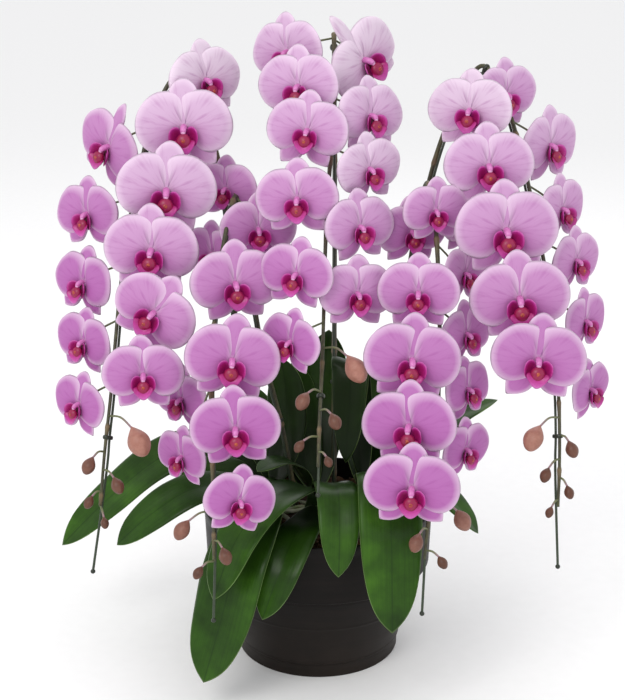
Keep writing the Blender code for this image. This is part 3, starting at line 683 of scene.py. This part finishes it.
STALK_LOOK = green_stalk()
spike_looks = [peduncle(), closed_bud(), STALK_LOOK]
STEM_PATHS = {}
for number, (route, wire_end, buds) in SPIKES.items():
    path = smooth_route(above_medium(route), 260)
    STEM_PATHS[number] = path
    patches = [stem_tube(path)]
    for bud in buds:
        patches += bud_patches(path, *bud)
    new_piece(f"spike_{number}", patches, spike_looks, "stem", f"flower_spike_{number}")

# ==== the support wires =========================================================================
# A florist's 3 mm steel wire, coated in dark green plastic, follows each stem on the hollow side
# of its arch. Small moulded clips hold stem and wire together, and a soft cap covers its end.

WIRE_RADIUS = 0.0015
WIRE_GAP = 0.0012
KNOB_RADIUS = 0.0028
CLIP_SHARES = (0.14, 0.32, 0.52, 0.72, 0.93)
CLIP_HALF_WIDTH = 0.0022
CLIP_THICKNESS = 0.0009


def hollow_side(path):
    """Which way the hollow side of the arch lies: along the path, crossed with the arch's sideways axis."""
    lean = unit((path[-1] - path[0]) * (1, 1, 0))
    side = np.cross(lean, (0, 0, 1))
    along = unit(np.gradient(path, axis=0))
    return along, unit(np.cross(along, side))


def clip_grid(centre, along, hollow):
    """A clip: a band round an oval, (A cos a) towards the wire and (B sin a) across, its section oval too."""
    across = np.cross(along, hollow)
    a, b = np.linspace(0, 2 * np.pi, 29)[:, None, None], np.linspace(0, 2 * np.pi, 13)[:, None]
    proud = CLIP_THICKNESS * np.cos(b)
    long = (STEM_RADIUS + WIRE_RADIUS + WIRE_GAP / 2 + CLIP_THICKNESS + proud) * np.cos(a)
    short = (STEM_RADIUS + CLIP_THICKNESS + proud) * np.sin(a)
    return patch(centre + long * hollow + short * across + CLIP_HALF_WIDTH * np.sin(b) * along, look=1)


def ball(centre, halves, look=0, shade=0.0, rows=13, columns=19):
    """An ellipsoid: the centre plus half sizes times (sin t cos a, sin t sin a, cos t)."""
    t, a = np.linspace(0, np.pi, rows)[:, None], np.linspace(0, 2 * np.pi, columns)
    round_places = np.stack([np.sin(t) * np.cos(a), np.sin(t) * np.sin(a), np.cos(t) + 0 * a], -1)
    return patch(centre + round_places * halves, look=look, shade=shade)


def coated_wire():
    """Extruded green PVC over steel: smooth and satin."""
    made, tree = start_material("green_coated_wire", {"Roughness": 0.38})
    wear = noise(tree, object_place(tree), 120.0, 3.0)
    return finished(made, mixed(tree, wear, "#1C2A1C", "#38452F"))


def clip_plastic():
    """Moulded polyethylene clips and caps: near black, a little glossier than the wire."""
    made, tree = start_material("moulded_clip", {"Roughness": 0.33})
    cloud = noise(tree, object_place(tree), 200.0)
    return finished(made, mixed(tree, cloud, "#121812", "#27301F"))


wire_looks = [coated_wire(), clip_plastic()]
for number, (route, wire_end, buds) in SPIKES.items():
    stem = STEM_PATHS[number]
    along, hollow = hollow_side(stem)
    apart = STEM_RADIUS + WIRE_GAP + WIRE_RADIUS
    end = above_medium(wire_end)
    path = smooth_route([*(stem + apart * hollow)[::10], end], 300)
    patches = [tube(path, WIRE_RADIUS, 10), ball(end, KNOB_RADIUS, look=1)]
    for share in CLIP_SHARES:
        i = int(share * (len(stem) - 1))
        patches.append(clip_grid(stem[i] + hollow[i] * apart / 2, along[i], hollow[i]))
    new_piece(f"wire_{number}", patches, wire_looks, "wire", f"support_wire_{number}")

# ==== the flowers ===============================================================================
# Moth orchid blossoms, each on its own pedicel: three sepals behind, two broad petals in front that
# meet in a fold above the column, and a hinged lip whose two round side lobes stand like ears.

TEPAL_THICKNESS = 0.014  # all sizes of a blossom are shares of its width
PALE_ABOVE = 0.70  # blossoms open palest at the top of a spike and deepest at its tip
DEEP_BELOW = 0.36
FULLER = 1.06  # the petals' spread over the modelled width
TILT = 5  # degrees that every modelled flower looks up
# painted shade: the entry for spike 1's side row darkens a shaded row; the other entries darken their rows'
# tint
DEEPER = {(1, "side"): 0.45, (3, "front"): 0.35, (2, "front"): 0.05, (5, "front"): 0.10}  # added to the tint
# painted shade on the blossoms that stand behind the modelled ones
FURTHER_PAINTED_SHADE = 0.30
JOINT_ABOVE = 0.022  # a pedicel's joint over its flower, in metres
FURTHER_JOINT_ABOVE = 0.070
UPPER_SEPAL = (0.485, 0.155)  # length and half width
LOWER_SEPALS = (0.460, 0.140)
LOWER_LEAN = 140  # degrees from upright
LONG_SEPALS = {(3, "side", 1): (0.64, 0.085), (1, "side", 1): (0.56, 0.090)}  # upper sepals of odd blossoms

# In millimetres and degrees: hearts (x, y, height above the medium), turn to the right, roll, and width.
FLOWERS = {
    (1, "front"): [
        (-130, 38, 523, 35, 0, 95), (-153, 0, 475, 3, 0, 110), (-172, -35, 409, 0, 0, 112),
        (-188, -65, 347, 0, 0, 106), (-184, -100, 285, -8, 38, 98), (-194, -130, 222, 0, 0, 90),
    ],
    (1, "side"): [
        (-247, 50, 444, -45, 20, 100), (-270, 15, 371, -32, 0, 90), (-274, -15, 297, -32, 0, 88),
        (-272, -45, 234, -32, 0, 82), (-275, -80, 170, -42, 0, 80),
    ],
    (2, "front"): [
        (-93, -88, 315, 15, 0, 100), (-95, -140, 242, 0, 0, 104), (-91, -172, 174, 0, 0, 98),
        (-86, -205, 103, 25, 12, 82),
    ],
    (3, "front"): [
        (-36, 45, 557, -30, 0, 92), (-23, 0, 521, -20, 0, 95), (-13, -30, 476, -15, 0, 92),
        (-24, -65, 406, -10, 0, 92), (-25, -100, 329, -20, 0, 85), (-31, -125, 259, -35, 0, 78),
    ],
    (3, "side"): [
        (54, 56, 544, 40, -35, 105), (59, 0, 488, 35, 0, 92), (57, -30, 433, 35, 0, 85),
        (46, -60, 373, 30, 0, 88), (43, -90, 304, 20, 0, 88),
    ],
    (4, "front"): [
        (110, -105, 309, -10, 0, 90), (102, -140, 242, 0, 0, 106), (98, -172, 177, -10, 0, 103),
        (100, -203, 117, -3, 0, 103),
    ],
    (4, "side"): [
        (170, 12, 363, 45, 0, 80), (168, -30, 311, 45, 0, 80), (168, -70, 251, 45, 0, 80),
        (168, -100, 195, 45, 0, 78), (165, -130, 134, 45, 0, 76),
    ],
    (5, "front"): [
        (171, 0, 494, -20, 0, 95), (191, -35, 437, 0, 0, 100), (209, -70, 371, 0, 0, 115),
        (223, -100, 301, -5, 0, 110), (241, -135, 241, 0, 0, 104),
    ],
    (5, "side"): [
        (272, 52, 445, 45, 0, 95), (283, 10, 378, 45, 0, 85), (297, -20, 324, 45, 0, 82),
        (306, -50, 260, 45, 0, 80), (313, -80, 188, 45, 0, 75),
    ],
}

# Blossoms that stand between or behind the modelled ones: spike, heart (x, y, height above the floor), turn
# to the right, and width.
FURTHER_FLOWERS = [
    (2, (-69, -20, 533), 10, 88), (2, (-109, 30, 570), -20, 80), (2, (-124, 0, 499), -30, 80),
    (2, (-157, -80, 348), -40, 82), (2, (-156, -110, 289), -40, 76), (4, (107, -20, 530), 20, 84),
    (5, (215, 30, 680), 30, 85), (4, (132, -45, 560), 15, 78),
]


def blossom_axes(turn, tilt, roll):
    """A blossom's right, back and up: rolled about back, tilted up about right, then turned about upright."""
    a, b, c = np.radians([turn, -tilt, roll])
    rolled = np.array([(np.cos(c), 0, -np.sin(c)), (0, 1, 0), (np.sin(c), 0, np.cos(c))])
    tilted = rolled @ np.array([(1, 0, 0), (0, np.cos(b), np.sin(b)), (0, -np.sin(b), np.cos(b))])
    return tilted @ np.array([(np.cos(a), np.sin(a), 0), (-np.sin(a), np.cos(a), 0), (0, 0, 1)])


def tepal_uv(x, z):
    """Angle round the heart and distance from it, each near 0 to 1, for the veins."""
    return np.stack([np.arctan2(z, x) / (2 * np.pi) + 0.5, 2 * np.hypot(x, z)], -1)


def petal_skins(side, ripple):
    """A petal on the round grid (p, q): an oval 0.49 by 0.63 whose upper inner edge runs up to the midline
    and whose lower inner edge is cut back, domed forward by 1 - e with e = p² + q², its rim rippled by
    e² sin(3a)."""
    p, q = disc(25, 25)
    e = p * p + q * q
    x = 0.238 + 0.245 * p * (1 + 0.72 * q.clip(0) ** 2 * (p < 0))
    z = 0.045 - 0.02 * p + 0.315 * q - 0.045 * p * q + 0.03 * (1 - p) * (-q).clip(0) ** 2
    claw = np.exp(-(x * x + z * z) / 0.008)
    y = -0.014 - 0.042 * (1 - e) + 0.030 * claw + 0.014 * e * e * np.sin(3 * np.arctan2(q, p) + ripple)
    y += 0.020 * e**3
    sheet = np.stack([side * x, y, z], -1)
    return [patch(skin, tepal_uv(x, z), e) for skin in both_skins(sheet, TEPAL_THICKNESS)]


def sepal_skins(length, half_width, lean, point, ripple):
    """A sepal on the round grid: an egg shape drawn out from the heart, round-tipped (point 0) or pointed
    (1), keeled, its tip bent back, and leaning by so many degrees from upright."""
    p, q = disc(21, 15)
    t = (1 + q) / 2
    along = length * t
    across = half_width * p * (1 + 0.20 * q - 0.25 * q.clip(0) ** 3) * np.sqrt(1 - point * q.clip(0) ** 1.6)
    y = 0.012 + 0.035 * t * t - 0.030 * (1 - p * p) * (1 - q * q) + 0.006 * p * p * np.sin(9 * t + ripple)
    turn = np.radians(lean)
    x = across * np.cos(turn) + along * np.sin(turn)
    z = along * np.cos(turn) - across * np.sin(turn)
    sheet = np.stack([x, y, z], -1)
    return [patch(skin, tepal_uv(x, z), p * p + q * q) for skin in both_skins(sheet, TEPAL_THICKNESS)]


def lip_patches():
    """The lip: two round cupped side lobes whose outer rims stand forward beside the column, a middle lobe
    that runs forward and then down to a blunt point, the throat, the round crest and a callus on it."""
    p, q = disc(15, 15)
    e = p * p + q * q
    found = []
    for side in (-1, 1):
        x = side * (0.078 + 0.066 * p + 0.010 * q)
        y = -0.078 - 0.052 * p + 0.040 * (1 - e) - 0.012 * q
        z = -0.076 + 0.100 * q - 0.012 * p
        tone = 0.38 + 0.50 * e * e * (0.5 + 0.5 * q.clip(0))
        found += [patch(skin, shade=tone, look=1) for skin in both_skins(np.stack([x, y, z], -1), 0.012)]
    p, q = disc(19, 15)
    t = (1 - q) / 2
    x = 0.100 * p * (1 - 0.15 * t) * (1 + 0.25 * np.sin(np.pi * t))
    y = -0.056 - 0.180 * t + 0.110 * t * t - 0.030 * p * p
    z = -0.115 - 0.040 * t - 0.105 * t * t + 0.032 * p * p
    tone = 0.30 + 0.40 * t + 0.30 * t**6
    found += [patch(skin, shade=tone, look=1) for skin in both_skins(np.stack([x, y, z], -1), 0.014)]
    p, q = disc(9, 9)
    throat = np.stack([0.080 * p, -0.022 + 0.015 * (p * p + q * q), -0.085 + 0.075 * q], -1)
    found += [patch(skin, shade=0.0, look=1) for skin in both_skins(throat, 0.010)]
    found.append(ball((0, -0.100, -0.118), (0.076, 0.052, 0.076), look=1, shade=0.24, rows=11, columns=17))
    found.append(ball((0, -0.136, -0.112), (0.026, 0.022, 0.026), look=3, rows=9, columns=13))
    return found


def column_patches():
    """The column: a stout rod that bows forward and down under a pale rounded anther cap."""
    knots = [(0, 0.012, 0.012), (0, -0.035, 0.010), (0, -0.080, -0.006), (0, -0.100, -0.032)]
    radii = 0.034 * np.sqrt(1 - np.linspace(0, 0.88, 12) ** 6)
    cap = ball((0, -0.100, -0.034), (0.024, 0.018, 0.020), look=2, shade=1.0)
    return [tube(smooth_route(knots, 12), radii, 12, look=2), cap]


def pedicel_tube(path, heart, axes, width, above):
    """A pedicel from the stem's middle, nearest a place so far above the flower, over a bend to the back of
    the heart, thicker where the ovary is."""
    back = heart + axes[1] * 0.11 * width
    joint = nearest(path, back + (0, 0.45 * above, above))
    knots = [joint, joint + (back - joint) * 0.6 + (0, 0, 0.004), back, heart]
    radii = 0.0012 + 0.0009 * np.linspace(0, 1, 26) ** 3
    return tube(smooth_route(knots, 26), radii, 8, look=4)


def petal_flesh():
    """Orchid petal: thin, velvety flesh with fine darker veins from the heart, a paler rim, and a heart a
    little darker all round. Painted shade leaves it palest above the heart, makes it much darker below the
    heart, and darkens a crease on each side of the midline."""
    made, tree = start_material("orchid_petal", {
        "Roughness": 0.55, "Specular IOR Level": 0.28, "Sheen Weight": 0.08,
    })
    grow, way, reach = grown(tree)
    veins = noise(tree, stretched(tree, grow, 46.0, 1.6, 1.0), 1.0, 3.0, 0.6, 0.4)
    body = ramp(
        tree, read(tree, "tint"), (0.0, "#D8C6D7"), (0.35, "#C9A2C7"), (0.7, "#BC85B8"), (1.0, "#AF6BAB")
    )
    # painted shade: the blossom's lower part, away from the light above, is darkened near the heart
    below = spread(tree, way, 0.60, 0.34, 0.14, 1.0)
    close = spread(tree, reach, 0.15, 0.90, 1.0, 0.12)
    heart_and_shade = mixed(tree, maths(tree, "MULTIPLY", below, close), body, "#A84D9F")
    veined = mixed(tree, spread(tree, veins, 0.50, 0.72, 0.0, 0.40), heart_and_shade, "#9A4793")
    # painted shade in a crease beside the midline
    aside = maths(tree, "COMPARE", way, 0.704, 0.014)
    fading = spread(tree, reach, 0.14, 0.48, 0.75, 0.0)
    crease_shaded = mixed(tree, maths(tree, "MULTIPLY", aside, fading), veined, "#7C4A7C")
    rimmed = mixed(tree, spread(tree, read(tree), 0.46, 1.0, 0.0, 0.62), crease_shaded, "#EEDCEC")
    return finished(made, rimmed, veins, 0.3, 0.0005)


def lip_flesh():
    """The lip: firm and waxy, dark red in the throat, crimson on its lobes and magenta at their rims."""
    made, tree = start_material("orchid_lip", {"Roughness": 0.36, "Specular IOR Level": 0.45})
    body = ramp(
        tree, read(tree), (0.0, "#62082E"), (0.24, "#8E0F44"), (0.38, "#9C1460"), (0.58, "#B02A86"),
        (0.86, "#C45CAC"), (1.0, "#D08CC2"),
    )
    speck = noise(tree, object_place(tree), 420.0)
    return finished(made, mixed(tree, 0.3, body, speck, "SOFT_LIGHT"))


def column_flesh():
    """The column: waxy rose, with a paler anther cap."""
    made, tree = start_material("orchid_column", {"Roughness": 0.35, "Specular IOR Level": 0.5})
    rose = mixed(tree, noise(tree, object_place(tree), 300.0), "#BC4E9E", "#DD92CC")
    return finished(made, mixed(tree, read(tree), rose, "#D49AC4"))


def callus_flesh():
    """The callus: a shiny orange crest freckled with red."""
    made, tree = start_material("orchid_callus", {"Roughness": 0.32})
    freckle = noise(tree, object_place(tree), 700.0, 1.0)
    return finished(made, ramp(tree, freckle, (0.40, "#B0502A"), (0.55, "#9A3028"), (0.65, "#7A1230")))


def new_blossom(name, heart, axes, width, spike, rng, tint_and_shade, long_sepal, *nodes):
    """One flower: its grids, made in shares of its width about its heart, are turned, sized and set in
    place, and moved inwards where a full petal would reach past the object's size."""
    grids = petal_skins(-1, rng.uniform(0, 6)) + petal_skins(1, rng.uniform(0, 6))
    grids += sepal_skins(*(long_sepal or UPPER_SEPAL), rng.uniform(-5, 5), 0.1, rng.uniform(0, 6))
    for lean in (LOWER_LEAN, -LOWER_LEAN):
        grids += sepal_skins(*LOWER_SEPALS, lean + rng.uniform(-4, 4), 0.85, rng.uniform(0, 6))
    grids += lip_patches() + column_patches()
    placed = [(heart + FULLER * width * (points @ axes), *others) for points, *others in grids]
    every = np.concatenate([points.reshape(-1, 3) for points, *others in placed])
    least, most = np.array(cad_box)
    inward = (least - every.min(0)).clip(0) - (every.max(0) - most).clip(0)
    placed = [(points + inward, *others) for points, *others in placed]
    above = JOINT_ABOVE if nodes else FURTHER_JOINT_ABOVE
    placed.append(pedicel_tube(STEM_PATHS[spike], heart + inward, axes, width, above))
    piece = new_piece(name, placed, flower_looks, "petal", *nodes)
    # painted shade: this tint also darkens spike 1's side row and the blossoms behind the modelled ones
    tint = (PALE_ABOVE - heart[2]) / (PALE_ABOVE - DEEP_BELOW) + rng.uniform(-0.12, 0.12) + tint_and_shade
    values = np.full(len(piece.data.vertices), np.clip(tint, 0, 1))
    piece.data.attributes.new("tint", "FLOAT", "POINT").data.foreach_set("value", values)


flower_looks = [petal_flesh(), lip_flesh(), column_flesh(), callus_flesh(), STALK_LOOK]
flower_rng = np.random.default_rng(23)
for (spike, row), places in FLOWERS.items():
    for place, (x, y, height, turn, roll, width) in enumerate(places, start=1):
        nod = flower_rng.uniform((-5, -5, -7), (5, 4, 7))
        new_blossom(
            f"blossom_{spike}_{row}_{place}", above_medium([x, y, height]),
            blossom_axes(turn + nod[0], TILT + nod[1], roll + nod[2]), width / MILLIMETRES,
            spike, flower_rng, DEEPER.get((spike, row), 0.0), LONG_SEPALS.get((spike, row, place)),
            f"flower_{spike}_{row}_{place}",
        )
for place, (spike, heart, turn, width) in enumerate(FURTHER_FLOWERS, start=1):
    new_blossom(
        f"blossom_{spike}_further_{place}", np.array(heart) / MILLIMETRES, blossom_axes(turn, 0, 0),
        width / MILLIMETRES, spike, flower_rng, FURTHER_PAINTED_SHADE, None,
    )

# ==== floor, light and camera ===================================================================
# A plain pale floor, a broad soft key from the upper left, a fill from the right, and a long lens
# a little above the flowers, tilted down to the pot.

FLOOR_HALF = 30.0
CAMERA_PLACE = (-0.007, -1.700, 0.927)
CAMERA_TILT = 72.243  # degrees up from straight down
CAMERA_LENS = 77.14  # focal length in millimetres


def floor_material():
    """Matt painted board, pale and even, with a trace of roller texture."""
    made, tree = start_material("matt_floor", {"Roughness": 0.95, "Specular IOR Level": 0.1})
    roller = noise(tree, object_place(tree), 60.0)
    return finished(made, mixed(tree, roller, "#F6F6F6", "#FAFAFA"))


floor_mesh = bpy.data.meshes.new("floor")
x, y = np.meshgrid(np.linspace(-1, 1, 9) * FLOOR_HALF, np.linspace(-1, 1, 9) * FLOOR_HALF)
numbers = np.arange(81).reshape(9, 9)
corners = np.stack([numbers[:-1, :-1], numbers[:-1, 1:], numbers[1:, 1:], numbers[1:, :-1]], -1)
points = np.stack([x, y, 0 * x], -1).reshape(-1, 3)
floor_mesh.from_pydata(points.tolist(), [], corners.reshape(-1, 4).tolist())
floor = bpy.data.objects.new("floor", floor_mesh)
floor_mesh.materials.append(floor_material())
bpy.context.collection.objects.link(floor)
floor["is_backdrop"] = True


def add_light(name, place, target, size, power, colour):
    """A square area light at a place, aimed at a target."""
    light = bpy.data.lights.new(name, "AREA")
    light.size = size
    light.energy = power
    light.color = linear(colour)[:3]
    lamp = bpy.data.objects.new(name, light)
    aim = np.array(target) - np.array(place)
    lamp.location = place
    lamp.rotation_euler = Vector(aim).to_track_quat("-Z", "Y").to_euler()
    bpy.context.collection.objects.link(lamp)


add_light("key", (-1.1, -1.9, 2.3), (0, 0, 0.4), 1.2, 27.0, "#FFFDFA")
add_light("fill", (1.8, -1.5, 1.3), (0, 0, 0.4), 1.8, 3.0, "#FBFCFF")
add_light("rim", (0.4, 1.8, 2.2), (0, 0, 0.5), 1.4, 10.0, "#FFFFFF")

world = bpy.data.worlds.new("studio")
world.use_nodes = True
world.node_tree.nodes["Background"].inputs["Color"].default_value = linear("#FDFDFE")
world.node_tree.nodes["Background"].inputs["Strength"].default_value = 0.95
bpy.context.scene.world = world

lens = bpy.data.cameras.new("camera")
lens.lens = CAMERA_LENS
camera = bpy.data.objects.new("camera", lens)
camera.location = CAMERA_PLACE
camera.rotation_euler = (np.radians(CAMERA_TILT), 0, 0)
bpy.context.collection.objects.link(camera)
bpy.context.scene.camera = camera
bpy.context.scene.view_settings.view_transform = "Standard"

[[list(corner) for corner in box] for box in (cad_box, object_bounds())]
